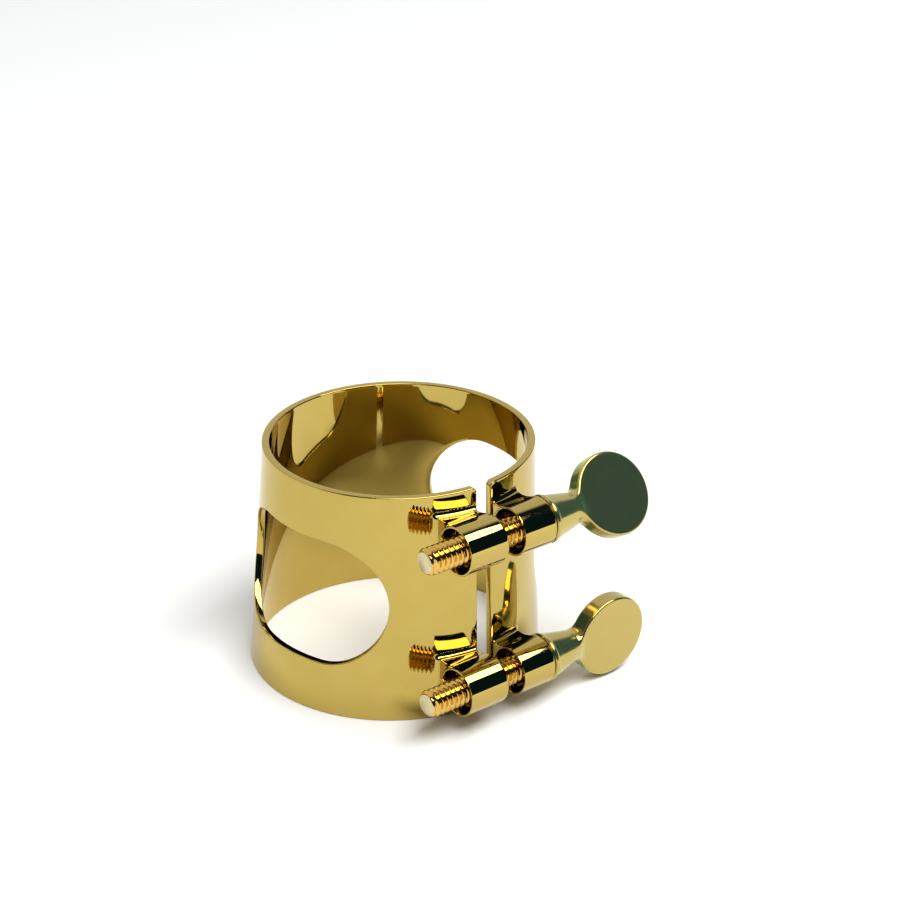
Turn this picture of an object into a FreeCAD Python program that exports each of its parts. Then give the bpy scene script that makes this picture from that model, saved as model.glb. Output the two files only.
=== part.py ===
import FreeCAD
import Part
import math
import os

# Two-screw ligature for an alto saxophone mouthpiece, in millimetres.
# Z is the mouthpiece axis, from the shank towards the tip; the base rim is at z = 0.
# The slot and the two screws are on the -Y side, and the thumb paddles are at +X.

# Band: a tapered oval sheet sleeve, open along one slot
band_height = 20.8
base_radius = 12.9            # mean outside radius at the base rim
top_radius = 11.75            # mean outside radius at the top rim
ovality = 0.028               # share by which it is wider in X and narrower in Y
sheet = 0.65                  # thickness of the sheet
slot_width = 1.5
flex_gap = 0.05               # clearance along the line at the back where the sheet flexes

# Side windows: round-ended long holes, one on each side
window_middle = 10.4          # height of the centre line above the base rim
window_half_height = 5.72
window_front_angle = 40.5     # from the slot round to the window's front tip
window_rear_angle = 128.0     # from the slot round to the window's rear tip

# Posts: a barrel for the screw, brazed to the band through a saddle
barrel_radius = 2.15
plain_barrel_length = 3.55    # on the head side
threaded_barrel_length = 4.1
barrel_inner_end = 0.86       # distance of the barrel's slot-side end from x = 0
barrel_axis_height = 2.28     # of the screw axis above the front of the band
barrel_edge = 0.2             # chamfer round the outer ends
pocket_radius = 1.82          # wide counterbore at the barrel's -X end
land_length = 1.1             # of the narrower hole beyond the counterbore
saddle_half_width = 2.0       # of the saddle's foot, along Z
saddle_waist = 1.72           # half width at the narrowest place
saddle_inset = 0.35           # of the saddle's outer end from the barrel's
saddle_root_share = 0.88      # of the barrel's radius, where the flank meets it
# Depths down the saddle's flank, as shares of the drop from the axis to the band
root_drop = 0.4
waist_drop = 0.65
foot_drop = 1.1
inside_drop = 2.5
upper_axis_z = 17.2
lower_axis_z = 4.0

# Screws: number 3 rod with 48 threads to the inch, and a coined thumb paddle
thread_radius = 1.2
thread_pitch = 0.529
thread_depth = 0.3
rod_tip = -8.2                # x of the flat end of the rod
rod_tip_radius = 0.92
thread_end = 2.0              # x where the thread runs out into the plain shank
plain_hole_clearance = 0.05
tapped_hole_clearance = 0.25
bead_gap = 0.05
bead_length = 0.45
bead_radius = 2.15
bead_round = 0.15             # how far the bead's face edge is eased
cone_base_radius = 2.05
neck_x = 8.0
neck_radius = 1.42
neck_depth_share = 0.5        # of the paddle's radius, to where the neck ends inside it
neck_end_share = 0.6          # of the paddle's front, the neck's radius there
paddle_x = 11.9
paddle_radius = 3.72
paddle_front = 1.1            # of the flat face, from the screw axis
paddle_thickness = 1.7
paddle_edge = 0.25
upper_paddle_tilt = 36.0      # how far the face is turned up from facing -Y
lower_paddle_tilt = 0.0

reach = 40.0                  # larger than the whole object, for cutting blocks


def vec(x, y, z):
    return FreeCAD.Vector(x, y, z)


def half_widths(z, inset=0.0):
    """Half widths in X and Y of the band's outline at height z, less inset."""
    mean = base_radius + (top_radius - base_radius) * z / band_height
    return mean * (1 + ovality) - inset, mean * (1 - ovality) - inset


def oval_cone(inset, low, high):
    """Solid tapered oval between two heights, inset from the band's outside."""
    wires = []
    for z in (low, high):
        wide, deep = half_widths(z, inset)
        edge = Part.Ellipse(vec(0, 0, z), wide, deep).toShape()
        wires.append(Part.Wire([edge]))
    return Part.makeLoft(wires, True, True)


def front_of_band(z):
    """Distance of the band's outside from the Z axis at the slot, at height z."""
    return half_widths(z)[1]


def radial_cylinder(angle, radius):
    """Cylinder that lies flat and points out from the Z axis, angle in degrees from -Y."""
    turn = math.radians(angle)
    outward = vec(math.sin(turn), -math.cos(turn), 0)
    return Part.makeCylinder(radius, reach, vec(0, 0, window_middle), outward)


def window_cutter(side):
    """Block that cuts one round-ended window; side is +1 for +X and -1 for -X."""
    mean = half_widths(window_middle)
    end_turn = math.degrees(math.asin(window_half_height / (sum(mean) / 2 - sheet / 2)))
    front = window_front_angle + end_turn
    rear = window_rear_angle - end_turn
    corners = [vec(0, 0, window_middle - window_half_height)]
    for angle in (front, rear):
        turn = math.radians(angle)
        corners.append(corners[0] + vec(side * math.sin(turn), -math.cos(turn), 0) * reach)
    face = Part.Face(Part.makePolygon(corners + [corners[0]]))
    block = face.extrude(vec(0, 0, 2 * window_half_height))
    for angle in (front, rear):
        block = block.fuse(radial_cylinder(side * angle, window_half_height))
    return block


def band_half(side):
    """The sheet sleeve on one side of x = 0, with its window."""
    shell = oval_cone(0, 0, band_height).cut(oval_cone(sheet, -1, band_height + 1))
    shell = shell.cut(window_cutter(side))
    slot = Part.makeBox(slot_width, reach, reach, vec(-slot_width / 2, -reach, -1))
    shell = shell.cut(slot)
    start = flex_gap / 2 if side > 0 else -reach - flex_gap / 2
    keep = Part.makeBox(reach, 2 * reach, reach, vec(start, -reach, -1))
    return shell.common(keep)


def turned(profile, axis_y, axis_z):
    """Solid of revolution about a screw axis, from (x, radius) points."""
    points = [vec(x, 0, radius) for x, radius in profile]
    face = Part.Face(Part.makePolygon(points + [points[0]]))
    solid = face.revolve(vec(0, 0, 0), vec(1, 0, 0), 360)
    solid.translate(vec(0, axis_y, axis_z))
    return solid


def axis_y_at(axis_z):
    return -front_of_band(axis_z) - barrel_axis_height


def barrel_ends(side):
    """x of a barrel's two ends; side is +1 for the head side and -1 for the thread side."""
    if side > 0:
        return barrel_inner_end, barrel_inner_end + plain_barrel_length
    return -barrel_inner_end - threaded_barrel_length, -barrel_inner_end


def barrel(axis_z, side, clearance):
    """Barrel with a wide pocket at its -X end and a narrower hole through the rest."""
    start, end = barrel_ends(side)
    hole = thread_radius + clearance
    profile = [
        (start, pocket_radius),
        (start, barrel_radius - barrel_edge / 2),
        (start + barrel_edge / 2, barrel_radius),
        (end - barrel_edge, barrel_radius),
        (end, barrel_radius - barrel_edge),
        (end, hole),
        (end - land_length, hole),
        (end - land_length, pocket_radius),
    ]
    return turned(profile, axis_y_at(axis_z), axis_z)


def saddle(axis_z, side):
    """Flared foot that fills the space between a barrel and the curved band."""
    axis_y = axis_y_at(axis_z)
    root_y = axis_y + root_drop * barrel_axis_height
    waist_y = axis_y + waist_drop * barrel_axis_height
    foot_y = axis_y + foot_drop * barrel_axis_height
    inside_y = axis_y + inside_drop * barrel_axis_height
    flanks = []
    for up in (1, -1):
        root = vec(0, root_y, up * saddle_root_share * barrel_radius)
        waist = vec(0, waist_y, up * saddle_waist)
        foot = vec(0, foot_y, up * saddle_half_width)
        inside = vec(0, inside_y, up * saddle_half_width)
        flanks.append((root, waist, foot, inside))
    top, bottom = flanks
    edges = [
        Part.Arc(top[0], top[1], top[2]).toShape(),
        Part.makeLine(top[2], top[3]),
        Part.makeLine(top[3], bottom[3]),
        Part.makeLine(bottom[3], bottom[2]),
        Part.Arc(bottom[2], bottom[1], bottom[0]).toShape(),
        Part.makeLine(bottom[0], top[0]),
    ]
    start, end = barrel_ends(side)
    length = end - start - saddle_inset
    block = Part.Face(Part.Wire(edges)).extrude(vec(length, 0, 0))
    block.translate(vec(start if side > 0 else start + saddle_inset, 0, axis_z))
    barrel_space = Part.makeCylinder(barrel_radius, reach, vec(-reach / 2, axis_y, axis_z), vec(1, 0, 0))
    block = block.cut(barrel_space)
    block = block.cut(oval_cone(0, -1, band_height + 1))
    return max(block.Solids, key=lambda solid: solid.Volume)


def screw_shank(axis_z):
    """Rod with ring grooves at the thread's pitch, and a plain length up to the head."""
    root = thread_radius - thread_depth
    first = rod_tip + thread_pitch
    count = int((thread_end - first) / thread_pitch)
    profile = [(rod_tip, 0), (rod_tip, rod_tip_radius)]
    for turn in range(count):
        start = first + turn * thread_pitch
        profile.append((start, thread_radius))
        profile.append((start + thread_pitch / 2, root))
    profile.append((first + count * thread_pitch, thread_radius))
    head_x = barrel_ends(1)[1] + bead_gap
    profile.append((head_x, thread_radius))
    profile.append((head_x, 0))
    return turned(profile, axis_y_at(axis_z), axis_z)


def screw_head(axis_z, tilt):
    """Collar bead, tapered neck and round thumb paddle in one piece."""
    start = barrel_ends(1)[1] + bead_gap
    end = start + bead_length
    bead_corner = bead_radius - bead_round
    neck_end = neck_x + neck_depth_share * paddle_radius
    profile = [
        (start, 0),
        (start, bead_corner),
        (start + bead_length / 3, bead_radius),
        (end - bead_length / 3, bead_radius),
        (end, cone_base_radius),
        (neck_x, neck_radius),
        (neck_end, neck_end_share * paddle_front),
        (neck_end, 0),
    ]
    neck = turned(profile, 0, 0)
    paddle = Part.makeCylinder(paddle_radius, paddle_thickness, vec(paddle_x, -paddle_front, 0), vec(0, 1, 0))
    rims = [edge for edge in paddle.Edges if isinstance(edge.Curve, Part.Circle)]
    paddle = paddle.makeFillet(paddle_edge, rims)
    head = neck.fuse(paddle).removeSplitter()
    head.rotate(vec(0, 0, 0), vec(1, 0, 0), -tilt)
    head.translate(vec(0, axis_y_at(axis_z), axis_z))
    return head


def save(node, shape):
    """Write one node, after checking that it is a single valid closed solid."""
    solids = shape.Solids
    if len(solids) != 1 or not shape.isValid():
        raise ValueError(node + " is not one valid solid")
    solids[0].exportStep("parts/" + node + ".step")
    print(node, round(solids[0].Volume, 3), "mm3")


os.makedirs("parts", exist_ok=True)
save("band_head_side", band_half(1))
save("band_thread_side", band_half(-1))
for place, axis_z, tilt in (
    ("upper", upper_axis_z, upper_paddle_tilt),
    ("lower", lower_axis_z, lower_paddle_tilt),
):
    save(place + "_plain_barrel", barrel(axis_z, 1, plain_hole_clearance))
    save(place + "_plain_saddle", saddle(axis_z, 1))
    save(place + "_threaded_barrel", barrel(axis_z, -1, tapped_hole_clearance))
    save(place + "_threaded_saddle", saddle(axis_z, -1))
    save(place + "_screw_shank", screw_shank(axis_z))
    save(place + "_screw_head", screw_head(axis_z, tilt))
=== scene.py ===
import bpy
import bmesh
import numpy as np
from math import pi, sin, cos, tan, atan2, asin, sqrt, radians
from mathutils import Vector, Matrix


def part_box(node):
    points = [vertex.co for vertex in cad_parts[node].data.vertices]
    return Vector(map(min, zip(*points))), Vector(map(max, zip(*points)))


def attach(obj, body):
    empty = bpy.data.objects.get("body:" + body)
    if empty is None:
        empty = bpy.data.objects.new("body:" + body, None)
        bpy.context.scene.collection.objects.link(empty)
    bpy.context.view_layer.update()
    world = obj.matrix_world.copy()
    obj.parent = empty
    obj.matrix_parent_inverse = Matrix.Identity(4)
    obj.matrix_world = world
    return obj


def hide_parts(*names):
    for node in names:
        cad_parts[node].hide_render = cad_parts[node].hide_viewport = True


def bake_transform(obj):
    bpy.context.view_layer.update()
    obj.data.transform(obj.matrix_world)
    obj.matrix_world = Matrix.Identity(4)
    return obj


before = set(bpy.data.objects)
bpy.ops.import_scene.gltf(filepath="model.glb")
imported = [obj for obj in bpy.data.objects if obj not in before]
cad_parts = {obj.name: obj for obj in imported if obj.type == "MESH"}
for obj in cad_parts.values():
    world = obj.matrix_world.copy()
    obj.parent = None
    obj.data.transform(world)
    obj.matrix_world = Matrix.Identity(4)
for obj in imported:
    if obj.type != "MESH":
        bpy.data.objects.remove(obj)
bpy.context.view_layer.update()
print("frame loaded")

# Every size below is in millimetres; meshes are scaled to metres when they are made
mm = 0.001
weld = 1e-4 * mm  # points closer than this are one point


# Shared helpers

def toLinear(hexColour, alpha=1.0):
    parts = [int(hexColour[i:i + 2], 16) / 255 for i in (1, 3, 5)]
    return [c / 12.92 if c <= 0.04045 else ((c + 0.055) / 1.055) ** 2.4 for c in parts] + [alpha]


def addNode(tree, kind, settings=None, links=None):
    node = tree.nodes.new(kind)
    for name, value in (settings or {}).items():
        if isinstance(name, int) or name in node.inputs:
            node.inputs[name].default_value = value
        else:
            setattr(node, name, value)
    for name, source in (links or {}).items():
        tree.links.new(source, node.inputs[name])
    return node


def startMaterial(name):
    made = bpy.data.materials.new(name)
    made.use_nodes = True
    tree = made.node_tree
    tree.nodes.clear()
    coords = addNode(tree, "ShaderNodeTexCoord").outputs["Object"]
    return made, tree, coords


def finishMaterial(tree, settings, links):
    shader = addNode(tree, "ShaderNodeBsdfPrincipled", settings, links)
    addNode(tree, "ShaderNodeOutputMaterial", links={"Surface": shader.outputs["BSDF"]})


def perMetre(size):
    return 1 / (size * mm)  # texture scale for features of this size in mm


def nodeBox(name):
    low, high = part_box(name)
    return low / mm, high / mm


def meshFrom(name, points, faces):
    mesh = bpy.data.meshes.new(name)
    mesh.from_pydata([tuple(p) for p in np.asarray(points) * mm], [], [tuple(f) for f in faces])
    mesh.update()
    mesh.polygons.foreach_set("use_smooth", [True] * len(mesh.polygons))
    piece = bpy.data.objects.new(name, mesh)
    bpy.context.scene.collection.objects.link(piece)
    return piece


def startEdit(piece):
    work = bmesh.new()
    work.from_mesh(piece.data)
    return work


def finishEdit(piece, work):
    work.to_mesh(piece.data)
    work.free()


def dress(piece, body, slot, *nodes):
    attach(piece, body)
    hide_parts(*nodes)


def smoothNoise(tree, coords, size, detail):
    return addNode(tree, "ShaderNodeTexNoise", {"Scale": perMetre(size), "Detail": detail},
                   {"Vector": coords}).outputs[0]


def stretchedNoise(tree, coords, scale, detail, turn=0.0):
    lay = addNode(tree, "ShaderNodeMapping", {"Scale": scale, "Rotation": (turn, 0, 0)},
                  {"Vector": coords})
    return addNode(tree, "ShaderNodeTexNoise", {"Scale": 1.0, "Detail": detail},
                   {"Vector": lay.outputs[0]}).outputs[0]


def between(tree, share, first, second):
    # Colour that goes from the first to the second as the share rises; 6, 7 and 2 are the
    # Mix node's colour sockets
    return addNode(tree, "ShaderNodeMix", {"data_type": "RGBA", 6: first, 7: second},
                   {0: share}).outputs[2]


def spreadOver(tree, value, low, high, start=0.0, end=1.0):
    # Sockets 1 to 4 of Map Range are the range taken in and the range given out
    return addNode(tree, "ShaderNodeMapRange", {1: start, 2: end, 3: low, 4: high},
                   {0: value}).outputs[0]


def relief(tree, height, depth):
    return addNode(tree, "ShaderNodeBump", {"Strength": 1.0, "Distance": depth * mm},
                   {"Height": height}).outputs[0]


# Materials

plateLook = dict(
    gold="#b79f50", paleGold="#bda65a", roughness=(0.028, 0.05), hazeSize=2.2, hazeDetail=3.0,
    hairSize=0.09, hairLength=1.6, hairDetail=2.0, hairSpan=(0.35, 0.7), peelSize=1.5,
    peelDetail=1.0, peelHeight=0.0004, lacquer=0.0, lacquerRoughness=0.5,
    paintedSheen=0.0, paintedSheenTint="#9adc8c", paintedSheenRoughness=0.6)


def makeBuffedPlate(name, look):
    # Gold plate on brass sheet, buffed to a mirror: sharp reflections, with a breath of
    # buffing haze and a faint waviness from the wheel that bends long straight reflections.
    # Where there is lacquer, its rough clear coat lifts dark reflections a little, and a
    # green-tinted sheen layer on top is a painted reflection tint that turns them soft green
    made, tree, coords = startMaterial(name)
    haze = smoothNoise(tree, coords, look["hazeSize"], look["hazeDetail"])
    long, fine = perMetre(look["hairLength"]), perMetre(look["hairSize"])
    hair = stretchedNoise(tree, coords, (long, long, fine), look["hairDetail"])
    peel = smoothNoise(tree, coords, look["peelSize"], look["peelDetail"])
    finishMaterial(
        tree,
        {"Metallic": 1.0, "Coat Weight": look["lacquer"],
         "Coat Roughness": look["lacquerRoughness"], "Sheen Weight": look["paintedSheen"],
         "Sheen Tint": toLinear(look["paintedSheenTint"]), "Sheen Roughness": look["paintedSheenRoughness"]},
        {"Base Color": between(tree, haze, toLinear(look["gold"]), toLinear(look["paleGold"])),
         "Roughness": spreadOver(tree, hair, *look["roughness"], *look["hairSpan"]),
         "Normal": relief(tree, peel, look["peelHeight"])})
    return made


mirrorPlate = makeBuffedPlate("gold_plated_brass_buffed", plateLook)
barrelPlate = makeBuffedPlate("gold_plated_tube_buffed", dict(
    plateLook, gold="#bba255", paleGold="#bfa75e", roughness=(0.02, 0.035), peelHeight=0.0002))
# The heads' green-tinted sheen is a painted reflection tint, not a tarnish film
headPlate = makeBuffedPlate("gold_plated_casting_lacquered", dict(
    plateLook, gold="#b8994f", paleGold="#bea058", roughness=(0.12, 0.17), lacquer=0.5, paintedSheen=0.5,
    hairLength=0.4, hairSize=0.3, peelHeight=0.0006))

rodLook = dict(gold="#e0bb66", deepGold="#d3a54c", roughness=(0.08, 0.16), markSize=0.07,
               markDetail=2.0, markHeight=0.002, grainSize=0.5, grainDetail=4.0)


def makeThreadedRod(look):
    # Gold plate over a die-cut brass thread: warmer, because light bounces twice inside the
    # grooves, and less sharp, because the die leaves fine tool marks round the flanks
    made, tree, coords = startMaterial("gold_plated_brass_die_cut")
    grain = smoothNoise(tree, coords, look["grainSize"], look["grainDetail"])
    marks = smoothNoise(tree, coords, look["markSize"], look["markDetail"])
    finishMaterial(
        tree, {"Metallic": 1.0},
        {"Base Color": between(tree, grain, toLinear(look["gold"]), toLinear(look["deepGold"])),
         "Roughness": spreadOver(tree, grain, *look["roughness"]),
         "Normal": relief(tree, marks, look["markHeight"])})
    return made


threadedRod = makeThreadedRod(rodLook)

cutLook = dict(metal="#ece3bd", darkMetal="#b3a26c", roughness=(0.3, 0.5), strokeWidth=0.12,
               strokeLength=0.7, strokeHeight=0.02, strokeDetail=3.0, strokeTurn=35.0)


def makeCutFace(look):
    # Brass rod sheared to length and plated over: a flat, whitish end with short strokes
    # from the cut, so it scatters light where the rest mirrors it
    made, tree, coords = startMaterial("gold_plated_brass_sheared_end")
    scale = (1.0, perMetre(look["strokeLength"]), perMetre(look["strokeWidth"]))
    strokes = stretchedNoise(tree, coords, scale, look["strokeDetail"],
                             radians(look["strokeTurn"]))
    finishMaterial(
        tree, {"Metallic": 1.0},
        {"Base Color": between(tree, strokes, toLinear(look["darkMetal"]),
                               toLinear(look["metal"])),
         "Roughness": spreadOver(tree, strokes, *look["roughness"]),
         "Normal": relief(tree, strokes, look["strokeHeight"])})
    return made


cutFace = makeCutFace(cutLook)
print("materials made")


# Band

band = dict(
    ovality=0.028, topShare=11.75 / 12.9, sheet=0.65, slot=1.5,
    windowMiddle=10.4, windowHalf=5.72, windowFront=40.5, windowRear=128.0,
    cornerRadius=0.45, edgeRound=0.09, edgeSteps=3, edgeAngle=50, rings=22,
    unrollAngle=84, flexHalf=0.6)

# How finely the rays of the sheet's grid turn round the window's ends, in degrees
rays = dict(step=2.5, cornerStep=0.15, cornerCount=14, straightCount=16, far=60.0)

bandLow, bandHigh = nodeBox("band_head_side")
bandHeight = bandHigh.z - bandLow.z
baseRadius = bandHigh.x / (1 + band["ovality"])


def halfWidths(z, inset=0.0):
    mean = baseRadius * (1 + (band["topShare"] - 1) * z / bandHeight)
    return mean * (1 + band["ovality"]) - inset, mean * (1 - band["ovality"]) - inset


def reachAt(angle, z, inset=0.0):
    wide, deep = halfWidths(z, inset)
    return 1 / sqrt((sin(angle) / wide) ** 2 + (cos(angle) / deep) ** 2)


def slotAngle(z, inset=0.0):
    wide, deep = halfWidths(z, inset)
    edge = band["slot"] / 2
    return atan2(edge, deep * sqrt(1 - (edge / wide) ** 2))


# Length of half the sheet laid flat, round its middle height
unrolled = (reachAt(radians(band["unrollAngle"]), band["windowMiddle"])
            * (pi - slotAngle(band["windowMiddle"])))


def flatPoint(angle, z):
    start = slotAngle(z)
    return (angle - start) / (pi - start) * unrolled, z


def windowLoop():
    radius = band["windowHalf"]
    middle = band["windowMiddle"]
    endTurn = asin(radius / (sum(halfWidths(middle)) / 2 - band["sheet"] / 2))
    front = radians(band["windowFront"]) + endTurn
    rear = radians(band["windowRear"]) - endTurn
    frontCentre = flatPoint(front, middle)[0]
    step, count = rays["step"], int(180 / rays["step"])
    steps = [90 + i * step for i in range(1, count)]
    for height in (bandHeight, 0.0):  # more rays where they meet the slot's rounded corners
        aim = np.degrees(atan2(height - middle, -frontCentre)) % 360
        near = range(-rays["cornerCount"], rays["cornerCount"] + 1)
        steps += [aim + rays["cornerStep"] * k for k in near]
    spread = [i / rays["straightCount"] for i in range(1, rays["straightCount"])]
    loop = [(front, degree) for degree in [90.0] + sorted(steps) + [270.0]]
    loop += [(front + (rear - front) * s, 270.0) for s in spread]
    loop += [(rear, -90 + i * step) for i in range(count + 1)]
    loop += [(rear + (front - rear) * s, 90.0) for s in spread]
    points = []
    for centre, degree in loop:
        turn = radians(degree)
        z = middle + radius * sin(turn)
        angle = centre
        for approach in range(6):
            angle = centre + asin(radius * cos(turn) / reachAt(angle, z))
        points.append((flatPoint(angle, z), (cos(turn), sin(turn))))
    return points


def outsideBy(s, z):
    # Signed distance to the unrolled half sheet, with its slot corners rounded
    radius = band["cornerRadius"] if s < unrolled / 2 else 0.0
    ds = abs(s - unrolled / 2) - unrolled / 2 + radius
    dz = abs(z - bandHeight / 2) - bandHeight / 2 + radius
    return sqrt(max(ds, 0) ** 2 + max(dz, 0) ** 2) + min(max(ds, dz), 0) - radius


def sheetLoops():
    inner, outer = [], []
    for (s, z), (ds, dz) in windowLoop():
        near, far = 0.0, rays["far"]
        for halving in range(50):
            half = (near + far) / 2
            if outsideBy(s + ds * half, z + dz * half) < 0:
                near = half
            else:
                far = half
        inner.append((s, z))
        outer.append((s + ds * near, z + dz * near))
    for corner in ((unrolled, 0.0), (unrolled, bandHeight)):  # square corners at the back
        gaps = [(s - corner[0]) ** 2 + (z - corner[1]) ** 2 for s, z in outer]
        outer[gaps.index(min(gaps))] = corner
    return np.array(inner), np.array(outer)


def sheetPoint(s, z, inset, side):
    start = slotAngle(z, inset)
    angle = start + (pi - start) * s / unrolled
    reach = reachAt(angle, z, inset)
    return side * reach * sin(angle), -reach * cos(angle), z


def outwardNormal(x, y, z, inset):
    wide, deep = halfWidths(z, inset)
    slope = baseRadius * (band["topShare"] - 1) / bandHeight
    wideSlope, deepSlope = slope * (1 + band["ovality"]), slope * (1 - band["ovality"])
    normal = Vector((x / wide ** 2, y / deep ** 2,
                     -(x * x * wideSlope / wide ** 3 + y * y * deepSlope / deep ** 3)))
    return normal.normalized()


def smoothBand(mesh):
    # Exact normals of the oval cone on both faces, so that the mirror has no facets
    onCone = 2e-5
    normals = [None] * len(mesh.loops)
    for face in mesh.polygons:
        face.use_smooth = True
    for index, loop in enumerate(mesh.loops):
        x, y, z = mesh.vertices[loop.vertex_index].co / mm
        normals[index] = mesh.corner_normals[index].vector.copy()
        for inset, sign in ((0.0, 1), (band["sheet"], -1)):
            wide, deep = halfWidths(z, inset)
            if abs(sqrt((x / wide) ** 2 + (y / deep) ** 2) - 1) < onCone:
                normals[index] = sign * outwardNormal(x, y, z, inset)
    mesh.normals_split_custom_set([tuple(n) for n in normals])


def makeBand():
    inner, outer = sheetLoops()
    rings = band["rings"]
    count = len(inner)
    points, faces = [], []
    for side in (1, -1):
        for inset in (0.0, band["sheet"]):
            first = len(points)
            for ring in range(rings + 1):
                share = ring / rings
                for s, z in inner * (1 - share) + outer * share:
                    points.append(sheetPoint(s, z, inset, side))
            for ring in range(rings):
                for i in range(count):
                    a = first + ring * count + i
                    b = first + ring * count + (i + 1) % count
                    quad = (a, b, b + count, a + count)
                    faces.append(quad if (side > 0) == (inset == 0) else quad[::-1])
        size = (rings + 1) * count
        outside, inside = len(points) - 2 * size, len(points) - size
        for ring, flip in ((0, False), (rings, True)):
            for i in range(count):
                j = (i + 1) % count
                if ring and min(outer[i][0], outer[j][0]) > unrolled - 1e-6:
                    continue  # the two halves of the sheet are one piece here
                a, b = ring * count + i, ring * count + j
                quad = (outside + a, inside + a, inside + b, outside + b)
                faces.append(quad if (side > 0) != flip else quad[::-1])
    piece = meshFrom("polished_band", points, faces)
    work = startEdit(piece)
    bmesh.ops.remove_doubles(work, verts=work.verts, dist=weld)
    bmesh.ops.recalc_face_normals(work, faces=work.faces)
    sharp = [e for e in work.edges
             if len(e.link_faces) == 2 and e.calc_face_angle() > radians(band["edgeAngle"])]
    bmesh.ops.bevel(work, geom=sharp, offset=band["edgeRound"] * mm, segments=band["edgeSteps"],
                    profile=0.5, affect="EDGES")
    finishEdit(piece, work)
    smoothBand(piece.data)
    piece.data.materials.append(mirrorPlate)
    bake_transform(piece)
    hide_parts("band_head_side", "band_thread_side")


makeBand()
print("band made")


# Barrels: turned from profiles of (x, radius, rounding) that go round the X axis

barrel = dict(pocketRadius=1.82, mouthRadius=2.0, mouthDepth=0.5, plainHole=1.25,
              tappedHole=1.45, land=1.1, rim=0.07, outerRim=0.28, lip=0.03, throat=0.1,
              sharpAngle=32)


def roundedProfile(corners, steps=5, guard=0.02):
    # guard is a short straight run beside each rounding, which keeps the long runs dead straight
    path = []
    count = len(corners)
    for i, (x, r, rounding) in enumerate(corners):
        here = Vector((x, r))
        if rounding == 0:
            path.append(here)
            continue
        back = Vector(corners[i - 1][:2]) - here
        ahead = Vector(corners[(i + 1) % count][:2]) - here
        half = back.angle(ahead) / 2
        cut = rounding / tan(half)
        back.normalize()
        ahead.normalize()
        centre = here + (back + ahead).normalized() * rounding / sin(half)
        first = here + back * cut - centre
        last = here + ahead * cut - centre
        swing = first.angle_signed(last)
        path.append(here + back * (cut + guard))
        for k in range(steps + 1):
            turn = -swing * k / steps
            path.append(centre + Vector((first.x * cos(turn) - first.y * sin(turn),
                                         first.x * sin(turn) + first.y * cos(turn))))
        path.append(here + ahead * (cut + guard))
    return path


def latheRing(name, corners, y, z, segments=128):
    path = roundedProfile(corners)
    points, faces = [], []
    count = len(path)
    for j in range(segments):
        turn = 2 * pi * j / segments
        points += [(p.x, y + p.y * cos(turn), z + p.y * sin(turn)) for p in path]
    for j in range(segments):
        for i in range(count):
            a, b = j * count, ((j + 1) % segments) * count
            k = (i + 1) % count
            faces.append((a + i, a + k, b + k, b + i))
    piece = meshFrom(name, points, faces)
    work = startEdit(piece)
    bmesh.ops.remove_doubles(work, verts=work.verts, dist=weld)
    bmesh.ops.recalc_face_normals(work, faces=work.faces)
    finishEdit(piece, work)
    piece.data.set_sharp_from_angle(angle=radians(barrel["sharpAngle"]))
    crisp = piece.modifiers.new("weighted", "WEIGHTED_NORMAL")
    crisp.keep_sharp = True
    return piece


def makeBarrel(name, body, node, hole):
    low, high = nodeBox(node)
    radius = (high.y - low.y) / 2
    start, end = low.x, high.x
    corners = [
        (start + barrel["mouthDepth"], barrel["pocketRadius"], 0),
        (start, barrel["mouthRadius"], barrel["lip"]),
        (start, radius, barrel["rim"]),
        (end, radius, barrel["outerRim"]),
        (end, hole, barrel["lip"]),
        (end - barrel["land"], hole, barrel["lip"]),
        (end - barrel["land"], barrel["pocketRadius"], barrel["throat"]),
    ]
    piece = latheRing(name, corners, (low.y + high.y) / 2, (low.z + high.z) / 2)
    piece.data.materials.append(barrelPlate)
    dress(piece, body, "barrel_plate", node)


for place in ("upper", "lower"):
    makeBarrel(place + "_plain_tube", "head_side_half", place + "_plain_barrel",
               barrel["plainHole"])
    makeBarrel(place + "_threaded_tube", "thread_side_half", place + "_threaded_barrel",
               barrel["tappedHole"])
print("barrels made")


# Threaded rods

rod = dict(pitch=0.529, depth=0.3, radius=1.2, tipRadius=0.92, tipSlope=1.0, runOut=2.0,
           runOutLength=0.9, segments=96, sharpAngle=48,
           profile=((0.0, 1.0), (0.06, 0.985), (0.11, 0.9), (0.2, 0.64), (0.3, 0.36), (0.39, 0.1),
                    (0.44, 0.015), (0.5, 0.0), (0.56, 0.015), (0.61, 0.1), (0.7, 0.36),
                    (0.8, 0.64), (0.89, 0.9), (0.94, 0.985)))


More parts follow.
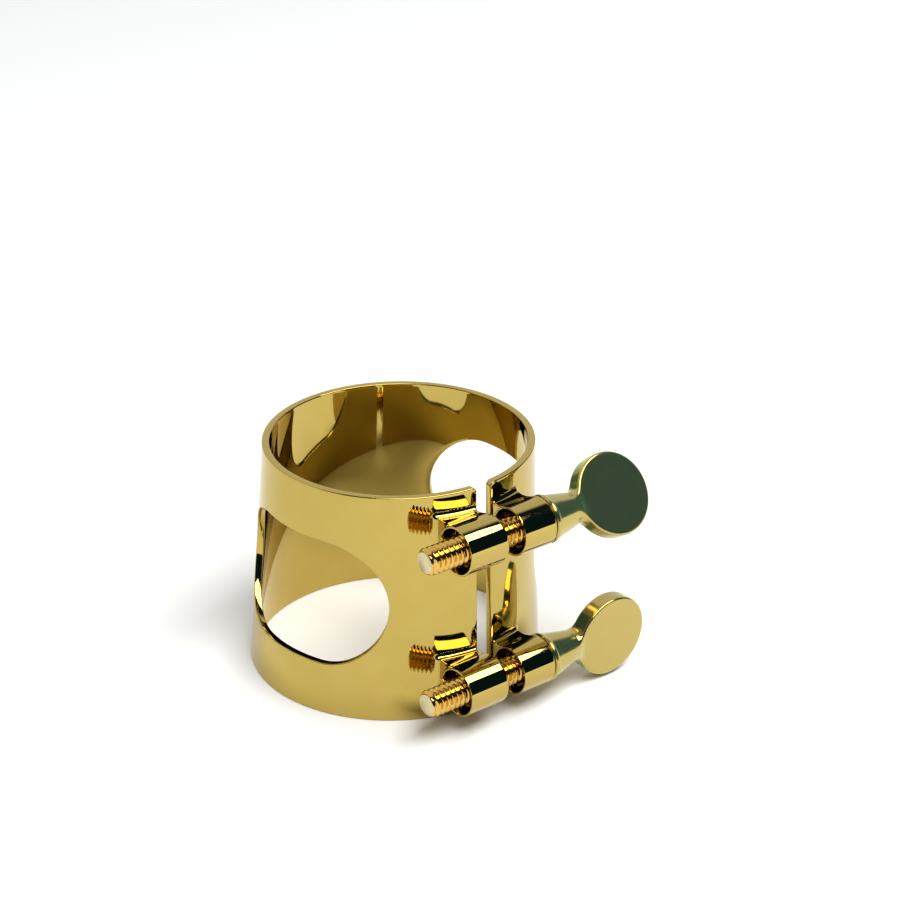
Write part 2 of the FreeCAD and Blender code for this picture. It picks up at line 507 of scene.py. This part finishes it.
def makeRod(place):
    low, high = nodeBox(place + "_screw_shank")
    y, z = (low.y + high.y) / 2, (low.z + high.z) / 2
    segments, shape = rod["segments"], rod["profile"]
    tip, end = low.x, high.x
    turns = int((end - tip) / rod["pitch"]) + 3  # with one and a half to spare at each end
    rows = turns * len(shape)
    points, faces = [], []
    for row in range(rows + len(shape)):
        turn, (along, lift) = row // len(shape), shape[row % len(shape)]
        for j in range(segments):
            x = tip + (turn - 1.5 + along + j / segments) * rod["pitch"]
            fade = min(max((x - rod["runOut"]) / rod["runOutLength"], 0), 1)
            depth = rod["depth"] * (1 - fade * fade * (3 - 2 * fade))
            radius = rod["radius"] - depth * (1 - lift)
            x = min(max(x, tip), end)
            radius = min(radius, rod["tipRadius"] + (x - tip) * rod["tipSlope"])
            angle = 2 * pi * j / segments
            points.append((x, y + radius * cos(angle), z + radius * sin(angle)))
    for row in range(rows):
        for j in range(segments):
            a, b = row * segments + j, (row + 1) * segments + j
            if j < segments - 1:
                faces.append((a, b, b + 1, a + 1))
            else:  # the helix climbs one pitch in each turn
                step = len(shape) * segments
                faces.append((a, b, b + 1 - segments + step, a + 1 - segments + step))
    faces = [f for f in faces if max(f) < len(points)]
    piece = meshFrom(place + "_threaded_rod", points, faces)
    work = startEdit(piece)
    bmesh.ops.remove_doubles(work, verts=work.verts, dist=2 * weld)
    bmesh.ops.dissolve_degenerate(work, dist=2 * weld, edges=work.edges)
    tipPlane, endPlane = tip * mm + weld, end * mm - weld
    caps = [f for f in work.faces if max(v.co.x for v in f.verts) < tipPlane
            or min(v.co.x for v in f.verts) > endPlane]
    bmesh.ops.delete(work, geom=caps, context="FACES")
    rims = [e for e in work.edges if e.is_boundary]
    bmesh.ops.holes_fill(work, edges=rims, sides=0)
    bmesh.ops.recalc_face_normals(work, faces=work.faces)
    finishEdit(piece, work)
    mesh = piece.data
    mesh.materials.append(threadedRod)
    mesh.materials.append(cutFace)
    for face in mesh.polygons:
        face.use_smooth = True
        face.material_index = 1 if face.center.x < tip * mm + 100 * weld else 0
    mesh.set_sharp_from_angle(angle=radians(rod["sharpAngle"]))
    dress(piece, place + "_screw", "rod_brass", place + "_screw_shank")


for place in ("upper", "lower"):
    makeRod(place)
print("rods made")


# Sculpted pieces: a distance function is sampled on a grid, skinned, and pulled onto its surface

def softMin(a, b, size):
    mix = np.maximum(size - np.abs(a - b), 0) / size
    return np.minimum(a, b) - mix * mix * size / 4


def softMax(a, b, size):
    return -softMin(-a, -b, size)


def roundBox(parts, rounding):
    # Distance to a block given its signed distances along each of its own directions
    stack = np.stack([part + rounding for part in parts])
    outside = np.sqrt((np.maximum(stack, 0) ** 2).sum(0))
    return outside + np.minimum(stack.max(0), 0) - rounding


sculpting = dict(probe=0.002, pulls=5, leastSlope=0.05)


def sculpt(name, distance, low, high, step):
    axes = [np.arange(low[i], high[i] + step, step) for i in range(3)]
    grid = np.stack(np.meshgrid(*axes, indexing="ij"), -1)
    value = distance(grid[..., 0], grid[..., 1], grid[..., 2])
    solid = value < 0
    shape = tuple(n - 1 for n in solid.shape)
    total = np.zeros(shape + (3,))
    crossings = np.zeros(shape)
    for axis in range(3):
        others = [i for i in range(3) if i != axis]
        for du in (0, 1):
            for dv in (0, 1):
                near = [slice(0, n) for n in shape]
                near[others[0]] = slice(du, shape[others[0]] + du)
                near[others[1]] = slice(dv, shape[others[1]] + dv)
                far = list(near)
                far[axis] = slice(1, shape[axis] + 1)
                near, far = tuple(near), tuple(far)
                cut = solid[near] != solid[far]
                gap = value[near] - value[far]
                share = np.where(cut, value[near] / np.where(gap == 0, 1, gap), 0)
                spot = grid[near] + (grid[far] - grid[near]) * share[..., None]
                total += np.where(cut[..., None], spot, 0)
                crossings += cut
    live = crossings > 0
    number = np.full(shape, -1)
    number[live] = np.arange(live.sum())
    points = total[live] / crossings[live][:, None]
    faces = []
    for axis in range(3):
        u, v = [i for i in range(3) if i != axis]
        near = [slice(1, n) for n in shape]
        near[axis] = slice(0, shape[axis])
        far = list(near)
        far[axis] = slice(1, shape[axis] + 1)
        here, there = solid[tuple(near)], solid[tuple(far)]
        spots = np.argwhere(here != there)
        starts = spots.copy()
        starts[:, u] += 1
        starts[:, v] += 1
        corners = []
        for du, dv in ((0, 0), (1, 0), (1, 1), (0, 1)):
            cell = starts.copy()
            cell[:, u] -= du
            cell[:, v] -= dv
            corners.append(number[cell[:, 0], cell[:, 1], cell[:, 2]])
        quads = np.stack(corners, 1)
        flip = here[spots[:, 0], spots[:, 1], spots[:, 2]] ^ (axis == 1)
        quads[flip] = quads[flip][:, ::-1]
        faces += quads.tolist()
    small = sculpting["probe"]
    for pull in range(sculpting["pulls"]):
        slope = np.stack([(distance(*(points + d).T) - distance(*(points - d).T)) / (2 * small)
                          for d in np.eye(3) * small], 1)
        steepness = np.maximum((slope ** 2).sum(1), sculpting["leastSlope"])
        push = distance(*points.T) / steepness
        points = points - slope * np.clip(push, -step, step)[:, None]
    slope = np.stack([distance(*(points + d).T) - distance(*(points - d).T)
                      for d in np.eye(3) * small], 1)
    normals = slope / np.linalg.norm(slope, axis=1)[:, None]
    piece = meshFrom(name, points, faces)
    work = startEdit(piece)
    bmesh.ops.recalc_face_normals(work, faces=work.faces)
    finishEdit(piece, work)
    corner = np.zeros(len(piece.data.loops), int)
    piece.data.loops.foreach_get("vertex_index", corner)
    piece.data.normals_split_custom_set(normals[corner].tolist())
    return piece


# Saddles

saddle = dict(halfWidth=1.7, endRound=0.16, footFillet=0.55, tubeFillet=0.5,
              overlap=0.06, skirt=0.85, clearance=0.06, slotEdge=0.12, step=0.07,
              pad=0.7, frontPad=0.2)


def makeSaddle(name, body, node, tubeNode):
    low, high = nodeBox(node)
    tubeLow, tubeHigh = nodeBox(tubeNode)
    axisY, axisZ = (tubeLow.y + tubeHigh.y) / 2, (tubeLow.z + tubeHigh.z) / 2
    radius = (tubeHigh.y - tubeLow.y) / 2
    middle, half = (low.x + high.x) / 2, (high.x - low.x) / 2
    side = 1 if middle > 0 else -1
    slotEnd = min(abs(tubeLow.x), abs(tubeHigh.x)) + saddle["clearance"]
    wideShare, deepShare = 1 + band["ovality"], 1 - band["ovality"]

    def distance(x, y, z):
        mean = baseRadius * (1 + (band["topShare"] - 1) * z / bandHeight)
        sheet = (np.sqrt((x / wideShare) ** 2 + (y / deepShare) ** 2) - mean) * deepShare
        tube = np.sqrt((y - axisY) ** 2 + (z - axisZ) ** 2) - radius
        post = roundBox([np.abs(x - middle) - half, np.abs(z - axisZ) - saddle["halfWidth"]],
                        saddle["endRound"])
        body = softMin(post, tube, saddle["tubeFillet"])
        body = softMin(body, sheet, saddle["footFillet"])
        body = np.maximum(body, -(tube + saddle["overlap"]))
        body = np.maximum(body, -(sheet + saddle["overlap"]))
        near = post - saddle["skirt"] * min(saddle["footFillet"], saddle["tubeFillet"])
        body = np.maximum(body, near)
        # no fillet reaches past the tube's end, so the two posts clear each other when closed
        body = softMax(body, slotEnd - side * x, saddle["slotEdge"])
        return np.maximum(body, axisY - y)

    pad = saddle["pad"]
    span = ((low.x - pad, axisY - saddle["frontPad"], axisZ - radius - pad),
            (high.x + pad, high.y + pad, axisZ + radius + pad))
    piece = sculpt(name, distance, span[0], span[1], saddle["step"])
    piece.data.materials.append(mirrorPlate)
    dress(piece, body, "saddle_plate", node)


for place in ("upper", "lower"):
    makeSaddle(place + "_plain_post", "head_side_half", place + "_plain_saddle",
               place + "_plain_barrel")
    makeSaddle(place + "_threaded_post", "thread_side_half", place + "_threaded_saddle",
               place + "_threaded_barrel")
print("saddles made")


# Screw heads

head = dict(beadLength=0.45, beadRadius=2.15, beadRound=0.2, coneBase=2.05, neckX=8.0,
            neckRadius=1.42, neckReach=10.6, paddleRadius=3.72, front=1.1, thickness=1.7,
            backRound=0.4, frontEdge=0.26, neckBlend=0.75, beadBlend=0.06, frontRamp=8.5,
            rampSlope=0.5, rampBlend=0.35, upperTilt=36.0, lowerTilt=0.0, step=0.085,
            coneInset=0.1, coneRound=0.05, discExtra=2.0, pad=0.3, halfDepth=2.6)


def makeHead(place, tilt):
    node = place + "_screw_head"
    low, high = nodeBox(node)
    shankLow, shankHigh = nodeBox(place + "_screw_shank")
    y0, z0 = (shankLow.y + shankHigh.y) / 2, (shankLow.z + shankHigh.z) / 2
    start, end = low.x, high.x
    radius, front = head["paddleRadius"], head["front"]
    centreX = end - radius
    beadEnd = start + head["beadLength"]
    slope = (head["neckRadius"] - head["coneBase"]) / (head["neckX"] - beadEnd)

    def distance(x, y, z):
        # local frame: the screw axis is X and the flat face looks along -Y
        fromAxis = np.sqrt(y * y + z * z)
        cone = roundBox([fromAxis - (head["coneBase"] + slope * (x - beadEnd)),
                         x - head["neckReach"], start + head["coneInset"] - x],
                        head["coneRound"])
        fromCentre = np.sqrt((x - centreX) ** 2 + z * z)
        back = head["thickness"] - front
        disc = roundBox([fromCentre - radius, y - back, -y - front - head["discExtra"]],
                        head["backRound"])
        shape = softMin(cone, disc, head["neckBlend"])
        ramp = softMax(head["frontRamp"] - x, np.zeros_like(x), head["rampBlend"])
        face = -(y + front + ramp * head["rampSlope"])
        shape = softMax(shape, face, head["frontEdge"])
        bead = roundBox([fromAxis - head["beadRadius"], x - beadEnd, start - x],
                        head["beadRound"])
        return softMin(shape, bead, head["beadBlend"])

    pad, depth = head["pad"], head["halfDepth"]
    piece = sculpt(place + "_thumb_paddle", distance, (start - pad, -depth, -radius - pad),
                   (end + pad, depth, radius + pad), head["step"])
    turn = Matrix.Rotation(radians(-tilt), 4, "X")
    piece.data.transform(Matrix.Translation(Vector((0, y0, z0)) * mm) @ turn)
    piece.data.materials.append(headPlate)
    dress(piece, place + "_screw", "head_plate", node)


makeHead("upper", head["upperTilt"])
makeHead("lower", head["lowerTilt"])
print("screw heads made")


# Floor, light and camera

studio = dict(floor="#fcfcfa", shade="#f9f9f7", floorSize=6.0, floorDrop=0.01, fibreSize=0.8,
              fibreDetail=4.0, floorRoughness=0.9, floorShine=0.2, backdrop="#ffffff",
              walls=0.85, wallStart=0.05, wallEnd=0.3, cameraSide=(0.004, 0.016, 0.045, 1),
              boxPlace=(0.0548, -0.3663, 0.72), boxSize=(1.0, 0.42), boxTurn=13.5, boxPower=9.7)


def makeFloor():
    # Matt white card: even and pale, so that the plate picks up a clean light ground
    made, tree, coords = startMaterial("matt_white_card")
    fibre = smoothNoise(tree, coords, studio["fibreSize"], studio["fibreDetail"])
    finishMaterial(
        tree, {"Roughness": studio["floorRoughness"], "Specular IOR Level": studio["floorShine"]},
        {"Base Color": between(tree, fibre, toLinear(studio["shade"]),
                               toLinear(studio["floor"]))})
    half = studio["floorSize"] / 2 / mm
    level = bandLow.z - studio["floorDrop"]
    floor = meshFrom("floor", [(-half, -half, level), (half, -half, level), (half, half, level),
                               (-half, half, level)], [(0, 1, 2, 3)])
    floor.data.materials.append(made)


def makeWorld():
    # Pale walls behind the object and the dim room in front of it, on a white backdrop
    world = bpy.data.worlds.new("studio")
    bpy.context.scene.world = world
    world.use_nodes = True
    tree = world.node_tree
    tree.nodes.clear()
    direction = addNode(tree, "ShaderNodeTexCoord").outputs["Generated"]
    parts = addNode(tree, "ShaderNodeSeparateXYZ", links={0: direction})
    behind = addNode(tree, "ShaderNodeMapRange",
                     {"interpolation_type": "SMOOTHSTEP", 1: studio["wallStart"],
                      2: studio["wallEnd"]}, {0: parts.outputs[1]})
    walls = between(tree, behind.outputs[0], studio["cameraSide"], [studio["walls"]] * 3 + [1])
    path = addNode(tree, "ShaderNodeLightPath")
    seen = addNode(tree, "ShaderNodeMix", {"data_type": "RGBA", 7: toLinear(studio["backdrop"])},
                   {0: path.outputs["Is Camera Ray"], 6: walls})
    back = addNode(tree, "ShaderNodeBackground", {"Strength": 1.0}, {"Color": seen.outputs[2]})
    addNode(tree, "ShaderNodeOutputWorld", links={"Surface": back.outputs[0]})


def makeSoftBox():
    # One long box hung level above the front; the tubes carry its edge as a white stripe
    lamp = bpy.data.lights.new("overhead_box", "AREA")
    lamp.shape = "RECTANGLE"
    lamp.size, lamp.size_y = studio["boxSize"]
    lamp.energy = studio["boxPower"]
    box = bpy.data.objects.new("overhead_box", lamp)
    box.location = studio["boxPlace"]
    box.rotation_euler = (0, 0, radians(studio["boxTurn"]))
    bpy.context.scene.collection.objects.link(box)


view = dict(place=(-111.2, -139.7, 107.5), aim=(5.88, 0.12, 17.75), roll=1.657, lens=91.76,
            sensor=36, nearest=5.0)


def makeCamera():
    camera = bpy.data.objects.new("camera", bpy.data.cameras.new("camera"))
    camera.data.lens = view["lens"]
    camera.data.sensor_width = view["sensor"]
    camera.data.clip_start = view["nearest"] * mm
    place, aim = Vector(view["place"]) * mm, Vector(view["aim"]) * mm
    look = (aim - place).to_track_quat("-Z", "Y").to_matrix()
    camera.matrix_world = (Matrix.Translation(place) @ look.to_4x4()
                           @ Matrix.Rotation(radians(view["roll"]), 4, "Z"))
    bpy.context.scene.collection.objects.link(camera)
    bpy.context.scene.camera = camera


makeFloor()
makeWorld()
makeSoftBox()
makeCamera()
bpy.context.scene.view_settings.view_transform = "Standard"
print("studio made")
